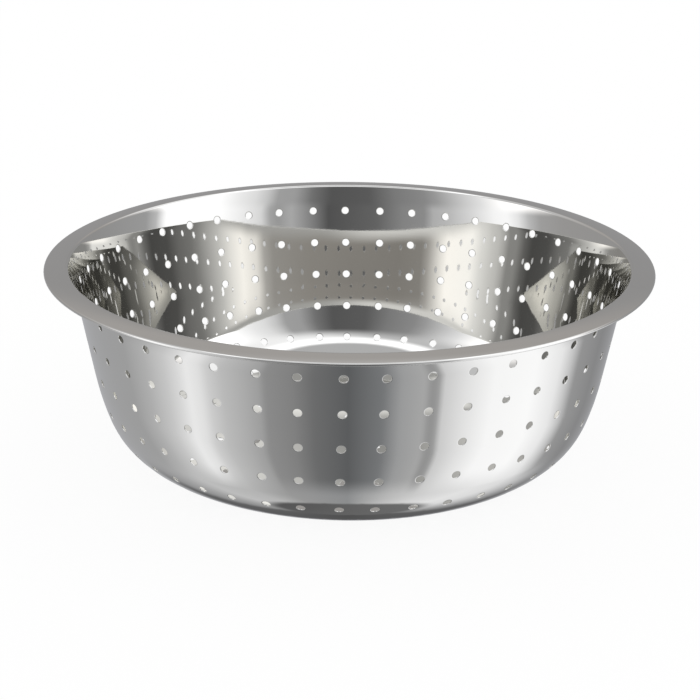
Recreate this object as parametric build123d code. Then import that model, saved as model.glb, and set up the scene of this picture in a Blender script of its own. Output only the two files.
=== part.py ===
from build123d import *
from math import acos, cos, degrees, hypot, radians, sin
import os

# Colander of pressed stainless steel sheet, standing on its flat base.
# Origin at the centre of the base's underside, +Z up, millimetres.

# Overall sizes
rim_diameter = 380.0
overall_height = 125.3
base_diameter = 221.6
sheet_thickness = 0.5

# Rim flange, from the mouth's bend out to the rolled edge
flange_width = 15.2
flange_slope = 5.4
bend_radius = 2.0

# Rolled edge and the wire inside it
wire_diameter = 1.0
wire_clearance = 0.05
roll_turn = 285.0

# Flare of the wall just below the mouth's bend, and how far it leans where it meets the bend
flare_radius = 85.0
mouth_lean = 22.0

# Straight wall, leaning outwards, and the two bends of the outer surface below it
wall_lean = 10.7
lower_wall_radius = 170.0
corner_radius = 45.6

# Drain holes of the wall, punched in pairs of columns
hole_diameter = 5.0
row_count = 6
first_row_drop = 16.7
last_row_setback = 20.8
pair_count = 22
pair_angle = 7.85
first_column_angle = 0.2
row_twist = -0.2

# Distance of the indexing centre from the bowl's axis when the wall was punched
index_offset_x = -3.1
index_offset_y = 2.3

# Drain holes of the base, in rings of six, twelve and so on
ring_count = 5
holes_per_ring_step = 6
ring_margin = 6.3

# How far a punch passes each side of the outer surface
punch_overrun = 3.0

# Sizes worked out from the ones above
rim_radius = rim_diameter / 2
base_radius = base_diameter / 2
roll_inner_radius = wire_diameter / 2 + wire_clearance
roll_outer_radius = roll_inner_radius + sheet_thickness
roll_centre_x = rim_radius - roll_outer_radius
bend_inner_radius = bend_radius - sheet_thickness
flare_inner_radius = flare_radius - sheet_thickness
bend_centre = (rim_radius - flange_width + bend_radius, overall_height - bend_radius)
corner_centre = (base_radius, corner_radius)


def polar_point(centre, radius, angle):
    """Point at an angle in degrees on a circle of the half section."""
    return (centre[0] + radius * cos(radians(angle)), centre[1] + radius * sin(radians(angle)))


flare_centre = polar_point(bend_centre, flare_inner_radius - bend_inner_radius, -mouth_lean)


def find_wall_turn():
    """Degrees that the lower wall turns, between the straight wall and the corner's arc."""
    across = flare_centre[0] - corner_centre[0]
    up = flare_centre[1] - corner_centre[1]
    lean = radians(wall_lean)
    to_wall = across * cos(lean) - up * sin(lean) - flare_inner_radius
    return degrees(acos((lower_wall_radius - to_wall) / (lower_wall_radius - corner_radius)))


def find_roll_centre():
    """Centre of the rolled edge, which the sloping flange touches from above."""
    run = roll_centre_x - bend_centre[0]
    slope = radians(flange_slope)
    fall = (run * sin(slope) - (bend_radius - roll_outer_radius)) / cos(slope)
    return (roll_centre_x, bend_centre[1] - fall)


corner_lean = wall_lean + find_wall_turn()
lower_wall_centre = polar_point(corner_centre, corner_radius - lower_wall_radius, -corner_lean)
roll_centre = find_roll_centre()
flare_foot = polar_point(flare_centre, flare_inner_radius, 180 - wall_lean)
wall_foot = polar_point(lower_wall_centre, lower_wall_radius, -wall_lean)
flare_length = flare_inner_radius * radians(mouth_lean - wall_lean)
wall_length = hypot(flare_foot[0] - wall_foot[0], flare_foot[1] - wall_foot[1])
lower_wall_length = lower_wall_radius * radians(corner_lean - wall_lean)
corner_length = corner_radius * radians(90 - corner_lean)
section_length = flare_length + wall_length + lower_wall_length + corner_length
row_pitch = (section_length - first_row_drop - last_row_setback) / (row_count - 1)


def surface_line(depth):
    """One face of the sheet in half section, at a depth inward from the outer surface."""
    base_edge = (base_radius, depth)
    wall_bottom = polar_point(lower_wall_centre, lower_wall_radius - depth, -wall_lean)
    wall_top = polar_point(flare_centre, flare_inner_radius + depth, 180 - wall_lean)
    flange_start = polar_point(bend_centre, bend_inner_radius + depth, 90 - flange_slope)
    flange_end = polar_point(roll_centre, roll_inner_radius + depth, 90 - flange_slope)
    base = Line((0, depth), base_edge)
    corner = CenterArc(corner_centre, corner_radius - depth, -90, 90 - corner_lean)
    lower_radius = lower_wall_radius - depth
    lower_wall = CenterArc(lower_wall_centre, lower_radius, -corner_lean, corner_lean - wall_lean)
    wall = Line(wall_bottom, wall_top)
    flare_turn = wall_lean - mouth_lean
    flare = CenterArc(flare_centre, flare_inner_radius + depth, 180 - wall_lean, flare_turn)
    bend_turn = mouth_lean - flange_slope - 90
    bend = CenterArc(bend_centre, bend_inner_radius + depth, 180 - mouth_lean, bend_turn)
    flange = Line(flange_start, flange_end)
    roll = CenterArc(roll_centre, roll_inner_radius + depth, 90 - flange_slope, -roll_turn)
    return [base, corner, lower_wall, wall, flare, bend, flange, roll]


def sheet_bowl():
    """The pressed bowl before punching, with its flange and rolled edge."""
    under = surface_line(0)
    upper = surface_line(sheet_thickness)
    axis_edge = Line(under[0] @ 0, upper[0] @ 0)
    free_edge = Line(under[-1] @ 1, upper[-1] @ 1)
    outline = Wire(under + [free_edge] + upper + [axis_edge])
    return revolve(Plane.XZ * make_face(outline), Axis.Z)


def wall_place(distance):
    """Radius, height and lean of the wall at a distance along it below the mouth's bend."""
    if distance < flare_length:
        lean = mouth_lean - degrees(distance / flare_inner_radius)
        radius, height = polar_point(flare_centre, flare_inner_radius, 180 - lean)
        return radius, height, lean
    distance -= flare_length
    if distance < wall_length:
        radius, height = polar_point(flare_foot, distance, -90 - wall_lean)
        return radius, height, wall_lean
    distance -= wall_length
    if distance < lower_wall_length:
        lean = wall_lean + degrees(distance / lower_wall_radius)
        radius, height = polar_point(lower_wall_centre, lower_wall_radius, -lean)
    else:
        lean = corner_lean + degrees((distance - lower_wall_length) / corner_radius)
        radius, height = polar_point(corner_centre, corner_radius, -lean)
    return radius, height, lean


def row_angles(row, radius):
    """Angles of one row's holes, from the front towards +X."""
    angles = []
    for pair in range(pair_count):
        for side in range(2):
            nominal = first_column_angle + pair * 360 / pair_count + side * pair_angle
            turn = radians(nominal)
            shift = index_offset_x * cos(turn) + index_offset_y * sin(turn)
            angles.append(nominal + degrees(shift / radius) + row * row_twist)
    return angles


def punch(radius, height, lean, angle):
    """Round punch square to the sheet at one place on the outer surface."""
    around = radians(angle)
    outward = Vector(sin(around), -cos(around), 0)
    place = outward * radius + Vector(0, 0, height)
    square_on = outward * cos(radians(lean)) - Vector(0, 0, sin(radians(lean)))
    return Plane(place, z_dir=square_on) * Cylinder(hole_diameter / 2, 2 * punch_overrun)


def wall_punches():
    """Punches for the rows of holes round the wall and the corner."""
    punches = []
    for row in range(row_count):
        radius, height, lean = wall_place(first_row_drop + row * row_pitch)
        for angle in row_angles(row, radius):
            punches.append(punch(radius, height, lean, angle))
    return punches


def base_punches():
    """Punches for the rings of holes in the flat base."""
    ring_pitch = (base_radius - ring_margin) / ring_count
    punches = []
    for ring in range(1, ring_count + 1):
        hole_count = ring * holes_per_ring_step
        for hole in range(hole_count):
            punches.append(punch(ring * ring_pitch, 0, 90, hole * 360 / hole_count))
    return punches


def perforated_bowl():
    """The whole sheet metal bowl with its drain holes."""
    return sheet_bowl() - wall_punches() - base_punches()


def rim_wire():
    """Wire ring that the edge of the sheet is rolled round."""
    return Pos(0, 0, roll_centre[1]) * Torus(roll_centre[0], wire_diameter / 2)


os.makedirs("parts", exist_ok=True)
export_step(perforated_bowl(), "parts/perforated_bowl.step")
export_step(rim_wire(), "parts/rim_wire.step")
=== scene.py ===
from math import acos, atan2, cos, floor, pi, radians, sin

import bmesh
import bpy
from mathutils import Matrix, Vector


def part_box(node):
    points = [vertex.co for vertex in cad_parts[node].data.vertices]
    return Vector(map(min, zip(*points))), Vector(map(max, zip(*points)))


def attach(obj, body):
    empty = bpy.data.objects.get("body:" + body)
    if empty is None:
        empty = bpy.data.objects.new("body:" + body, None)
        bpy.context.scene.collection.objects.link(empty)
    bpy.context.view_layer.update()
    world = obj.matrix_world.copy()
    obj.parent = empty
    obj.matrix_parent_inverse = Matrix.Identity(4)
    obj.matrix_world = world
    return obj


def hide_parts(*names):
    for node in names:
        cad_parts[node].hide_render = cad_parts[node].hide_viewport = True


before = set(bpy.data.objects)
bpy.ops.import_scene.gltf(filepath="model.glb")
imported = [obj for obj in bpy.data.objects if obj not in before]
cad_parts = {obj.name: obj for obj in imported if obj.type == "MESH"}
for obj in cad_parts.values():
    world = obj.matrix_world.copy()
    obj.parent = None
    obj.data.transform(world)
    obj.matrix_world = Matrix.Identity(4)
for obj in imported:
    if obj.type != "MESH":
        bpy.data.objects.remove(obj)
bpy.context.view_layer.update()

# Perforated bowl
# One disc of 0.5 mm stainless steel sheet, deep drawn to a flat base, a round corner, a leaning wall and a
# sloping flange. Its edge is rolled, the drain holes are punched through, and it is polished to a mirror.
mm = 0.001
rim_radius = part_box("perforated_bowl")[1].x
overall_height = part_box("perforated_bowl")[1].z
base_radius = 110.8 * mm
sheet_thickness = 0.5 * mm
flange_width = 15.2 * mm
flange_slope = radians(5.4)
flange_crown = radians(5)
bend_radius = 2 * mm
roll_inner_radius = 0.55 * mm
roll_turn = radians(285)
flare_radius = 85 * mm
mouth_lean = radians(22)
wall_lean = radians(10.7)
lower_wall_radius = 170 * mm
corner_radius = 45.6 * mm

# The section is followed along the underside: from the base's edge up the corner, the wall and its flare,
# over the mouth's bend, out along the flange and round the roll. A bend to the left has a positive radius.
bend_inner_radius = bend_radius - sheet_thickness
flare_inner_radius = flare_radius - sheet_thickness
roll_outer_radius = roll_inner_radius + sheet_thickness
bend_centre = Vector((rim_radius - flange_width + bend_radius, overall_height - bend_radius))
flare_beyond_bend = flare_radius - bend_radius
flare_centre = bend_centre + flare_beyond_bend * Vector((cos(mouth_lean), -sin(mouth_lean)))
corner_centre = Vector((base_radius, corner_radius))
square_to_wall = Vector((cos(wall_lean), -sin(wall_lean)))
along_wall = Vector((sin(wall_lean), cos(wall_lean)))
corner_to_flare = flare_centre - corner_centre
corner_to_wall = corner_to_flare.dot(square_to_wall) - flare_inner_radius
spare_radius = lower_wall_radius - corner_radius
lower_wall_turn = acos((lower_wall_radius - corner_to_wall) / spare_radius)
roll_run = rim_radius - roll_outer_radius - bend_centre.x
flange_run = roll_run - (bend_radius - roll_outer_radius) * sin(flange_slope)
flange_crown_reach = (bend_inner_radius + roll_inner_radius) * sin(flange_crown / 2)
flange_length = flange_run / cos(flange_slope) + flange_crown_reach
spans = [
    (corner_radius * (pi / 2 - wall_lean - lower_wall_turn), corner_radius),
    (lower_wall_radius * lower_wall_turn, lower_wall_radius),
    (corner_to_flare.dot(along_wall) - spare_radius * sin(lower_wall_turn), None),
    (flare_inner_radius * (mouth_lean - wall_lean), -flare_inner_radius),
    (bend_inner_radius * (pi / 2 - mouth_lean + flange_slope - flange_crown / 2), -bend_inner_radius),
    (flange_length, -flange_length / flange_crown),
    (roll_inner_radius * (roll_turn - flange_crown / 2), -roll_inner_radius),
]
mouth_way = sum(length for length, _ in spans[:4])


def section(way):
    """Radius, height and heading of the sheet's underside, at a way along it from the base's edge."""
    place = Vector((base_radius, 0))
    heading = 0
    for length, radius in spans:
        run = min(way, length)
        if radius is None:
            place += run * Vector((cos(heading), sin(heading)))
        else:
            turned = heading + run / radius
            place += radius * Vector((sin(turned) - sin(heading), cos(heading) - cos(turned)))
            heading = turned
        way -= run
    return place.x, place.y, heading


# The holes of the wall are punched in pairs of columns while the bowl turns in a simple jig, which sits a
# little off the bowl's axis and lets the columns twist by a fifth of a degree a row.
hole_radius = 2.5 * mm
row_count = 6
first_row_drop = 16.7 * mm
last_row_setback = 20.8 * mm
pair_count = 22
pair_turn = radians(7.85)
first_column_turn = radians(0.2)
row_twist = radians(-0.2)
index_offset = Vector((-3.1 * mm, 2.3 * mm))
row_pitch = (mouth_way - first_row_drop - last_row_setback) / (row_count - 1)
pattern_radius = section(mouth_way)[0]
pattern_width = 2 * pi * pattern_radius
column_turn = pi / pair_count
pattern_start = first_column_turn + pair_turn / 2 - column_turn


def formed(flat):
    """Where a point of the flat pattern comes to lie on the bowl, and the three directions there."""
    radius, height, heading = section(flat.y)
    turn = pattern_start + flat.x / pattern_radius
    shift = index_offset.x * cos(turn) + index_offset.y * sin(turn)
    row = min(max((mouth_way - first_row_drop - flat.y) / row_pitch, 0), row_count - 1)
    turn += shift / radius + row * row_twist
    spoke = Vector((sin(turn), -cos(turn), 0))
    round_way = Vector((cos(turn), sin(turn), 0))
    up_way = cos(heading) * spoke + sin(heading) * Vector((0, 0, 1))
    outward = sin(heading) * spoke - cos(heading) * Vector((0, 0, 1))
    place = radius * spoke + height * Vector((0, 0, 1)) + flat.z * outward
    return place, round_way, up_way, outward


# Each cell of the flat pattern holds one hole. A wide ring round the hole keeps the sheet's curve smooth,
# and inside a narrow one the sheet dips a little towards the hole, as the punch leaves it.
steps_per_cell_side = 4
curve_ring_radius = 6.8 * mm
dip_radius = 3 * mm
edge_round = 0.14 * mm
weld_distance = 0.002 * mm


def set_round(cell, centre, radius, widening):
    """Sets the corners of a cell evenly on a ring round a hole's centre."""
    middle = cell.calc_center_median()
    step = 2 * pi / len(cell.verts)
    for vert in cell.verts:
        turn = round(atan2(vert.co.y - middle.y, vert.co.x - middle.x) / step) * step
        vert.co = centre + Vector((radius * cos(turn) * widening, radius * sin(turn), 0))


def punch_cells(sheet, cells, hole_place, radii):
    """Opens a round hole in each cell of a flat sheet, with rings of these radii round it."""
    for radius in radii:
        bmesh.ops.inset_individual(sheet, faces=cells, thickness=edge_round)
        for cell in cells:
            centre, widening = hole_place(cell)
            set_round(cell, centre, radius, widening)
    bmesh.ops.delete(sheet, geom=cells, context="FACES_KEEP_BOUNDARY")


def is_side(face):
    """Whether a face of a flat sheet stands square to it, in a hole or at the sheet's edge."""
    return abs(face.normal.z) < 0.1


def give_thickness(sheet, is_joint):
    """Gives a flat sheet its thickness, and leaves it open where its edge joins another."""
    doubled = bmesh.ops.extrude_face_region(sheet, geom=sheet.faces[:] + sheet.edges[:], use_keep_orig=True)
    moved = [part for part in doubled["geom"] if isinstance(part, bmesh.types.BMVert)]
    bmesh.ops.translate(sheet, vec=(0, 0, -sheet_thickness), verts=moved)
    bmesh.ops.recalc_face_normals(sheet, faces=sheet.faces[:])
    joints = [face for face in sheet.faces if is_side(face) and is_joint(face)]
    bmesh.ops.delete(sheet, geom=joints, context="FACES_KEEP_BOUNDARY")


def round_hole_edges(sheet):
    """Takes the sharp edge off both sides of each hole, and keeps the normals that shade it as round."""
    edges = [e for e in sheet.edges if len(e.link_faces) == 2 and sum(map(is_side, e.link_faces)) == 1]
    bmesh.ops.bevel(
        sheet, geom=edges, offset=edge_round, segments=1, profile=0.5, affect="EDGES", material=-1
    )
    sheet.normal_update()
    kept = sheet.verts.layers.float_vector.new("shading")
    for vert in sheet.verts:
        sides = [face.normal for face in vert.link_faces if is_side(face)]
        vert[kept] = sum(sides, Vector()).normalized() if sides else vert.normal


def bring_to_shape(sheet, shape):
    """Lays a flat sheet and its kept normals on the formed bowl."""
    kept = sheet.verts.layers.float_vector["shading"]
    for vert in sheet.verts:
        place, round_way, up_way, outward = shape(vert.co)
        normal = vert[kept]
        vert.co = place
        vert[kept] = normal.x * round_way + normal.y * up_way + normal.z * outward


lowest_cell = last_row_setback - row_pitch / 2
highest_cell = lowest_cell + row_count * row_pitch
wall = bmesh.new()
bmesh.ops.create_grid(wall, x_segments=2 * pair_count, y_segments=row_count, size=0.5)
bmesh.ops.translate(wall, vec=(0.5, 0.5, 0), verts=wall.verts)
bmesh.ops.scale(wall, vec=(pattern_width, row_count * row_pitch, 1), verts=wall.verts)
bmesh.ops.translate(wall, vec=(0, lowest_cell, 0), verts=wall.verts)
bmesh.ops.bisect_edges(wall, edges=wall.edges[:], cuts=steps_per_cell_side - 1)


def wall_hole(cell):
    """Centre of a cell's hole in the flat pattern, and how much wider it is drawn than it comes out."""
    middle = cell.calc_center_median()
    column = floor(middle.x / (column_turn * pattern_radius))
    row = floor((highest_cell - middle.y) / row_pitch)
    way = mouth_way - first_row_drop - row * row_pitch
    turn = column_turn - pair_turn / 2 + column // 2 * 2 * column_turn + column % 2 * pair_turn
    return Vector((turn * pattern_radius, way, 0)), pattern_radius / section(way)[0]


def is_wall_joint(face):
    """Whether a side face lies along the base's edge or where the flat pattern closes on itself."""
    return any(
        all(abs(vert.co[axis] - line) < weld_distance for vert in face.verts)
        for axis, line in ((1, 0), (0, 0), (0, pattern_width))
    )


def draw_on(sheet, start, length, steps):
    """Draws the sheet on from its border at one way, and gives the way of its new border."""
    for _ in range(steps):
        border = [e for e in sheet.edges if all(abs(v.co.y - start) < weld_distance for v in e.verts)]
        drawn = bmesh.ops.extrude_edge_only(sheet, edges=border)["geom"]
        moved = [part for part in drawn if isinstance(part, bmesh.types.BMVert)]
        start += length / steps
        bmesh.ops.translate(sheet, vec=(0, length / steps, 0), verts=moved)
    return start


punch_cells(wall, wall.faces[:], wall_hole, (curve_ring_radius, dip_radius, hole_radius))
draw_on(wall, lowest_cell, -lowest_cell, 2)
drawn_way = draw_on(wall, highest_cell, mouth_way - highest_cell, 2)
for (length, _), steps in zip(spans[4:], (10, 4, 18)):
    drawn_way = draw_on(wall, drawn_way, length, steps)
give_thickness(wall, is_wall_joint)
round_hole_edges(wall)
bring_to_shape(wall, formed)

# The flat base has five rings of holes, six more in each ring than in the last.
ring_count = 5
holes_per_ring_step = 6
ring_margin = 6.3 * mm
ring_pitch = (base_radius - ring_margin) / ring_count
base_cell_radius = 5.5 * mm


def turned_down(flat):
    """Where a point of the base's flat pattern comes to lie, with its outer face down."""
    return Vector((flat.x, -flat.y, -flat.z)), Vector((1, 0, 0)), Vector((0, -1, 0)), Vector((0, 0, -1))


def base_hole(cell):
    """Centre of a cell's hole in the base, drawn as wide as it comes out."""
    return cell.calc_center_median(), 1


def is_base_joint(face):
    """Whether a side face lies along the base's edge."""
    return all(vert.co.xy.length > base_radius - weld_distance for vert in face.verts)


base = bmesh.new()
for ring in range(1, ring_count + 1):
    for hole in range(ring * holes_per_ring_step):
        turn = 2 * pi * hole / (ring * holes_per_ring_step)
        centre = Matrix.Translation(ring * ring_pitch * Vector((sin(turn), cos(turn), 0)))
        bmesh.ops.create_circle(
            base, cap_ends=True, segments=4 * steps_per_cell_side, radius=base_cell_radius, matrix=centre
        )
base_cells = base.faces[:]
edge_steps = 2 * pair_count * steps_per_cell_side
base_edge = bmesh.ops.create_circle(base, segments=edge_steps, radius=base_radius)["verts"]
for vert in base_edge:
    turn = atan2(vert.co.x, -vert.co.y) % (2 * pi)
    vert.co = turned_down(formed(Vector((turn * pattern_radius, 0, 0)))[0])[0]
bmesh.ops.triangle_fill(base, use_beauty=True, use_dissolve=False, edges=base.edges[:], normal=(0, 0, 1))
for face in base.faces:
    if face.normal.z < 0:
        face.normal_flip()
punch_cells(base, base_cells, base_hole, (dip_radius, hole_radius))
give_thickness(base, is_base_joint)
round_hole_edges(base)
bring_to_shape(base, turned_down)

bowl_mesh = bpy.data.meshes.new("bowl")
base.to_mesh(bowl_mesh)
wall.from_mesh(bowl_mesh)
bmesh.ops.remove_doubles(wall, verts=wall.verts, dist=weld_distance)
wall.to_mesh(bowl_mesh)
bowl_mesh.shade_smooth()
shading = [point.vector.normalized() for point in bowl_mesh.attributes["shading"].data]
bowl_mesh.normals_split_custom_set_from_vertices(shading)
bowl_mesh.attributes.remove(bowl_mesh.attributes["shading"])
bowl = bpy.data.objects.new("bowl", bowl_mesh)
bpy.context.scene.collection.objects.link(bowl)
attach(bowl, "root")
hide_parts("perforated_bowl")


def add_node(tree, kind, settings, inputs):
    """Adds a node with its settings; each input is a value or the output of another node."""
    node = tree.nodes.new("ShaderNode" + kind)
    for name, value in settings.items():
        setattr(node, name, value)
    for name, value in inputs.items():
        if isinstance(value, bpy.types.NodeSocket):
            tree.links.new(value, node.inputs[name])
        else:
            node.inputs[name].default_value = value
    return node


def linear(hex_colour):
    """An sRGB hex colour as the linear colour that a shader takes."""
    parts = [int(hex_colour[start:start + 2], 16) / 255 for start in (0, 2, 4)]
    return [part / 12.92 if part <= 0.04045 else ((part + 0.055) / 1.055) ** 2.4 for part in parts] + [1]


# Stainless steel 18/8, deep drawn and buffed on a turning lathe: a cool bright mirror with the slightest warm
# tint, which only shows where it mirrors itself. Drawing leaves the sheet very slightly wavy, and the buff
# leaves hair lines round the bowl. The real lines are about 0.05 mm apart, and are drawn at 0.8 mm to show.
hair_line_size = 0.8 * mm
hair_line_stretch = 2 * mm
smear_size = 45 * mm
wave_size = 38 * mm
steel = bpy.data.materials.new("polished_stainless_steel")
steel.use_nodes = True
tree = steel.node_tree
shader = tree.nodes["Principled BSDF"]
place = add_node(tree, "TexCoord", {}, {}).outputs["Object"]
parts = add_node(tree, "SeparateXYZ", {}, {"Vector": place}).outputs
heading = add_node(tree, "Math", {"operation": "ARCTAN2"}, {0: parts["X"], 1: parts["Y"]}).outputs[0]
flat_place = add_node(tree, "CombineXYZ", {}, {"X": parts["X"], "Y": parts["Y"]}).outputs[0]
spoke = add_node(tree, "VectorMath", {"operation": "LENGTH"}, {0: flat_place}).outputs["Value"]
round_bowl = add_node(tree, "Math", {"operation": "MULTIPLY"}, {0: heading, 1: hair_line_stretch}).outputs[0]
lathe_place = add_node(
    tree, "CombineXYZ", {}, {"X": round_bowl, "Y": spoke, "Z": parts["Z"]}
).outputs[0]
hair_lines = add_node(
    tree, "TexNoise", {}, {"Vector": lathe_place, "Scale": 1 / hair_line_size, "Detail": 3, "Roughness": 0.6}
).outputs["Fac"]
smears = add_node(
    tree, "TexNoise", {}, {"Vector": place, "Scale": 1 / smear_size, "Detail": 3, "Roughness": 0.55}
).outputs["Fac"]
waves = add_node(
    tree, "TexNoise", {}, {"Vector": place, "Scale": 1 / wave_size, "Detail": 1, "Roughness": 0.4}
).outputs["Fac"]
buffing = add_node(tree, "Math", {"operation": "MULTIPLY"}, {0: hair_lines, 1: smears}).outputs[0]
roughness = add_node(
    tree, "MapRange", {},
    {"Value": buffing, "From Min": 0.15, "From Max": 0.45, "To Min": 0.012, "To Max": 0.045},
).outputs[0]
tint = add_node(
    tree, "MixRGB", {}, {"Fac": smears, "Color1": linear("D9D8D3"), "Color2": linear("D5D4CF")}
).outputs[0]
wavy = add_node(tree, "Bump", {}, {"Strength": 1, "Distance": 0.06 * mm, "Height": waves}).outputs[0]
lined = add_node(
    tree, "Bump", {}, {"Strength": 1, "Distance": 0.0006 * mm, "Height": hair_lines, "Normal": wavy}
).outputs[0]
shader.inputs["Metallic"].default_value = 1
tree.links.new(tint, shader.inputs["Base Color"])
tree.links.new(roughness, shader.inputs["Roughness"])
tree.links.new(lined, shader.inputs["Normal"])
bowl_mesh.materials.append(steel)

# Rim wire
# A ring of 1 mm drawn steel wire, butt welded, that the edge of the sheet is rolled round. It keeps the thin
# rim round, and the roll hides it. Drawing through a die leaves it satin, with fine lines along its length.
die_line_size = 0.1 * mm
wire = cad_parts["rim_wire"]
wire_steel = bpy.data.materials.new("drawn_steel_wire")
wire_steel.use_nodes = True
tree = wire_steel.node_tree
shader = tree.nodes["Principled BSDF"]
place = add_node(tree, "TexCoord", {}, {}).outputs["Object"]
parts = add_node(tree, "SeparateXYZ", {}, {"Vector": place}).outputs
flat_place = add_node(tree, "CombineXYZ", {}, {"X": parts["X"], "Y": parts["Y"]}).outputs[0]
spoke = add_node(tree, "VectorMath", {"operation": "LENGTH"}, {0: flat_place}).outputs["Value"]
across_wire = add_node(tree, "CombineXYZ", {}, {"Y": spoke, "Z": parts["Z"]}).outputs[0]
die_lines = add_node(
    tree, "TexNoise", {}, {"Vector": across_wire, "Scale": 1 / die_line_size, "Detail": 2}
).outputs["Fac"]
tint = add_node(
    tree, "MixRGB", {}, {"Fac": die_lines, "Color1": linear("B9B8B5"), "Color2": linear("CFCECB")}
).outputs[0]
roughness = add_node(
    tree, "MapRange", {}, {"Value": die_lines, "To Min": 0.22, "To Max": 0.38}
).outputs[0]
shader.inputs["Metallic"].default_value = 1
tree.links.new(tint, shader.inputs["Base Color"])
tree.links.new(roughness, shader.inputs["Roughness"])
wire.data.materials.clear()
wire.data.materials.append(wire_steel)

# Floor
# A plain white sweep that the colander stands on. The camera sees it as white, with the colander's soft
# shadow. Polished steel mirrors the studio instead, as it does when it is held up in front of a camera.
floor_half_width = 12
floor_clearance = 0.05 * mm
floor_mesh = bpy.data.meshes.new("studio_floor")
sweep = bmesh.new()
bmesh.ops.create_grid(sweep, x_segments=2, y_segments=2, size=floor_half_width)
bmesh.ops.translate(sweep, vec=(0, 0, -floor_clearance), verts=sweep.verts)
sweep.to_mesh(floor_mesh)
studio_floor = bpy.data.objects.new("studio_floor", floor_mesh)
bpy.context.scene.collection.objects.link(studio_floor)
matt_white = bpy.data.materials.new("matt_white_sweep")
matt_white.use_nodes = True
tree = matt_white.node_tree
tree.nodes.remove(tree.nodes["Principled BSDF"])
ray = add_node(tree, "LightPath", {}, {}).outputs
white = add_node(tree, "Emission", {}, {"Color": linear("FFFFFF"), "Strength": 1}).outputs[0]
shaded = add_node(tree, "BsdfDiffuse", {}, {"Color": linear("FFFFFF")}).outputs[0]
unseen = add_node(tree, "BsdfTransparent", {}, {}).outputs[0]
soft_shadow = add_node(tree, "MixShader", {}, {0: 0.08, 1: white, 2: shaded}).outputs[0]
seen = add_node(tree, "MixShader", {}, {0: ray["Is Camera Ray"], 1: shaded, 2: soft_shadow}).outputs[0]
surface = add_node(tree, "MixShader", {}, {0: ray["Is Glossy Ray"], 1: seen, 2: unseen}).outputs[0]
tree.links.new(surface, tree.nodes["Material Output"].inputs["Surface"])
floor_mesh.materials.append(matt_white)

# Studio
# Plain soft light from all round. Polished steel shows the studio that it stands in: white screens to the
# left and right, grey walls in front and behind, a pale ceiling and a table, with painted shade on the table
# under and behind the bowl. The bowl was tipped towards the camera by a few degrees, so the studio is tipped
# by as much here, and the bowl stands level.
tip = radians(5.7)
studio = bpy.data.worlds.new("studio")
bpy.context.scene.world = studio
studio.use_nodes = True
tree = studio.node_tree
direction = add_node(tree, "TexCoord", {}, {}).outputs["Generated"]
tipped = add_node(
    tree, "VectorRotate", {"rotation_type": "X_AXIS"}, {"Vector": direction, "Angle": -tip}
).outputs[0]
parts = add_node(tree, "SeparateXYZ", {}, {"Vector": tipped}).outputs
front = add_node(tree, "Math", {"operation": "MULTIPLY"}, {0: parts["Y"], 1: -1}).outputs[0]
heading = add_node(tree, "Math", {"operation": "ARCTAN2"}, {0: parts["X"], 1: front}).outputs[0]
round_room = add_node(tree, "MapRange", {}, {"Value": heading, "From Min": -pi, "From Max": pi}).outputs[0]
climb = add_node(tree, "Math", {"operation": "ARCSINE"}, {0: parts["Z"]}).outputs[0]
drop = add_node(tree, "Math", {"operation": "MULTIPLY"}, {0: climb, 1: -1}).outputs[0]

# What stands round the bowl, at headings in degrees from the camera round to the right, with its
# brightness and its warmth: well above the rim's height, at about that height, below it, and on the table.
high_screens = [
    (-180, 0.46, 0.05), (-147, 0.49, 0.05), (-113, 0.58, 0.03), (-105, 0.8, 0.02), (-98, 1.55, 0.02),
    (-84, 1.95, 0.02), (-74, 1.6, 0.01), (-62, 1.08, 0), (-51, 0.76, 0), (-41, 0.47, 0), (-35, 0.36, 0),
    (-21, 0.28, 0), (-9, 0.15, 0), (9, 0.13, 0), (18, 0.24, 0), (26, 0.48, 0), (34, 0.5, 0), (39, 0.8, 0),
    (45, 1.05, 0), (52, 1.2, 0), (62, 1.5, 0), (72, 2, 0.01), (94, 2.05, 0.02), (100, 1.65, 0.02),
    (106, 1.15, 0.02), (112, 0.7, 0.03), (118, 0.46, 0.04), (138, 0.42, 0.05), (180, 0.46, 0.05),
]
screens = [
    (-180, 0.36, 0.02), (-105, 0.44, 0.02), (-92, 0.5, 0.01), (-86, 0.7, 0), (-80, 1.15, 0), (-74, 1.4, 0),
    (-68, 1.35, 0), (-57, 1, 0), (-46, 0.72, 0), (-38, 0.62, 0), (-34, 0.38, 0), (-24, 0.33, 0),
    (-12, 0.18, 0), (10, 0.12, 0), (20, 0.38, 0), (27, 0.58, 0), (33, 0.45, 0), (37, 0.55, 0),
    (41, 1, 0), (50, 1.25, 0), (60, 1.5, 0), (89, 1.5, 0), (94, 0.7, 0), (100, 0.46, 0), (135, 0.38, 0.01),
    (180, 0.36, 0.02),
]
low_screens = [
    (-180, 0.45, 0), (-113, 0.48, 0), (-99, 0.62, 0), (-87, 0.82, 0), (-80, 1, 0), (-74, 1.2, 0),
    (-68, 1.1, 0), (-63, 0.88, 0), (-56, 0.72, 0), (-46, 0.6, 0), (-39, 0.5, 0), (-36, 0.38, 0),
    (-24, 0.32, 0), (-15, 0.22, -0.01), (0, 0.16, -0.03), (15, 0.27, -0.03), (23, 0.48, -0.01),
    (33, 0.56, 0), (36, 0.42, 0), (39, 0.45, 0), (42, 0.87, 0), (52, 1.1, 0), (66, 1.36, 0),
    (88, 1.41, 0), (104, 1.16, 0), (112, 0.8, 0), (119, 0.42, 0), (138, 0.32, 0), (180, 0.45, 0),
]
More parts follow.
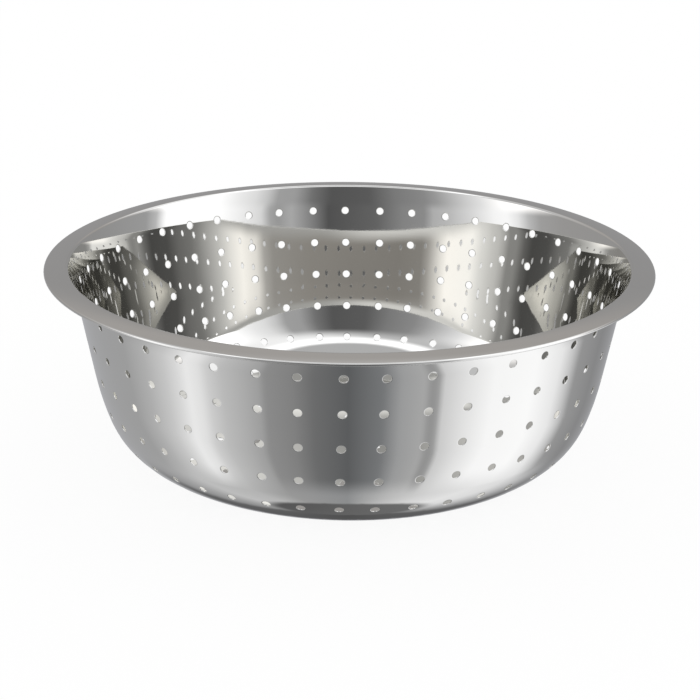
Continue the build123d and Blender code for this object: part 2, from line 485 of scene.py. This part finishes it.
# On the table, the back from about 145 degrees round is painted shade, much darker than the lit table in
# front and at the sides.
table_top = [
    (-180, 0.11, 0), (-152, 0.16, 0), (-138, 0.4, 0), (-118, 0.54, 0), (-95, 0.74, 0), (-60, 0.67, 0),
    (-35, 0.46, 0), (0, 0.4, -0.02), (25, 0.72, 0), (50, 0.96, 0), (80, 1.12, 0), (105, 1.03, 0),
    (125, 0.74, 0), (145, 0.4, 0), (158, 0.16, 0), (180, 0.11, 0),
]
rings = []
for stops in (high_screens, screens, low_screens, table_top):
    ramp = add_node(tree, "ValToRGB", {}, {0: round_room})
    elements = ramp.color_ramp.elements
    elements.remove(elements[0])
    for number, (degrees_round, brightness, warmth) in enumerate(stops):
        place = (degrees_round + 180) / 360
        element = elements[0] if number == 0 else elements.new(place)
        element.position = place
        element.color = (brightness * (1 + warmth), brightness, brightness * (1 - warmth), 1)
    rings.append(ramp.outputs["Color"])
rightness = add_node(
    tree, "MapRange", {"interpolation_type": "SMOOTHSTEP"},
    {"Value": parts["X"], "From Min": -0.35, "From Max": 0.35},
).outputs[0]
ceiling = add_node(
    tree, "MixRGB", {}, {"Fac": rightness, "Color1": (0.74, 0.74, 0.74, 1), "Color2": (1.3, 1.3, 1.3, 1)}
).outputs[0]
# Painted shadow: the table right under the bowl, as the steel mirrors it, is the bowl's own shadow painted
# dark, darker on the left than on the right.
shade_under_bowl = add_node(
    tree, "MixRGB", {}, {"Fac": rightness, "Color1": (0.13, 0.13, 0.13, 1), "Color2": (0.22, 0.22, 0.22, 1)}
).outputs[0]

# The ceiling stops short of the dark wall round the camera, and a ring of lamps hangs overhead.
towards_camera = add_node(tree, "Math", {"operation": "MAXIMUM"}, {0: front, 1: 0}).outputs[0]
ceiling_height = add_node(
    tree, "Math", {"operation": "MULTIPLY_ADD"}, {0: towards_camera, 1: radians(-22), 2: climb}
).outputs[0]
table_drop = add_node(
    tree, "Math", {"operation": "MULTIPLY_ADD"}, {0: front, 1: radians(-8), 2: drop}
).outputs[0]
room = rings[2]
for value, low, high, beyond in (
    (climb, -20, -8, rings[1]),
    (climb, 13, 22, rings[0]),
    (ceiling_height, 24, 46, ceiling),
    (climb, 54, 62, (1.8, 1.8, 1.8, 1)),
    (climb, 65, 71, (0.62, 0.62, 0.62, 1)),
    (table_drop, 44, 56, rings[3]),
    (drop, 71, 76, shade_under_bowl),
):
    share = add_node(
        tree, "MapRange", {"interpolation_type": "SMOOTHSTEP"},
        {"Value": value, "From Min": radians(low), "From Max": radians(high)},
    ).outputs[0]
    room = add_node(tree, "MixRGB", {}, {"Fac": share, "Color1": room, "Color2": beyond}).outputs[0]

# The light is a little cool, which makes up for the warm tint of one reflection in steel.
cool = add_node(
    tree, "MixRGB", {"blend_type": "MULTIPLY"}, {"Fac": 1, "Color1": room, "Color2": (0.99, 1, 1.05, 1)}
).outputs[0]
ray = add_node(tree, "LightPath", {}, {}).outputs
light = add_node(
    tree, "MixRGB", {}, {"Fac": ray["Is Glossy Ray"], "Color1": linear("FFFFFF"), "Color2": cool}
).outputs[0]
tree.links.new(light, tree.nodes["Background"].inputs["Color"])
bpy.context.scene.cycles.max_bounces = 16
bpy.context.scene.cycles.glossy_bounces = 16
bpy.context.scene.view_settings.view_transform = "Standard"

# Camera
# About 1.15 m from the bowl, looking down on it by 20 degrees, as the photograph's ellipses show.
lens = bpy.data.cameras.new("camera")
lens.sensor_width = 36
lens.lens = 93.77
camera = bpy.data.objects.new("camera", lens)
bpy.context.scene.collection.objects.link(camera)
camera.matrix_world = (
    Matrix.Translation((0.00072, -1.09632, 0.46073))
    @ Matrix.Rotation(radians(90 - 19.94), 4, "X")
    @ Matrix.Rotation(radians(0.527), 4, "Z")
)
bpy.context.scene.camera = camera
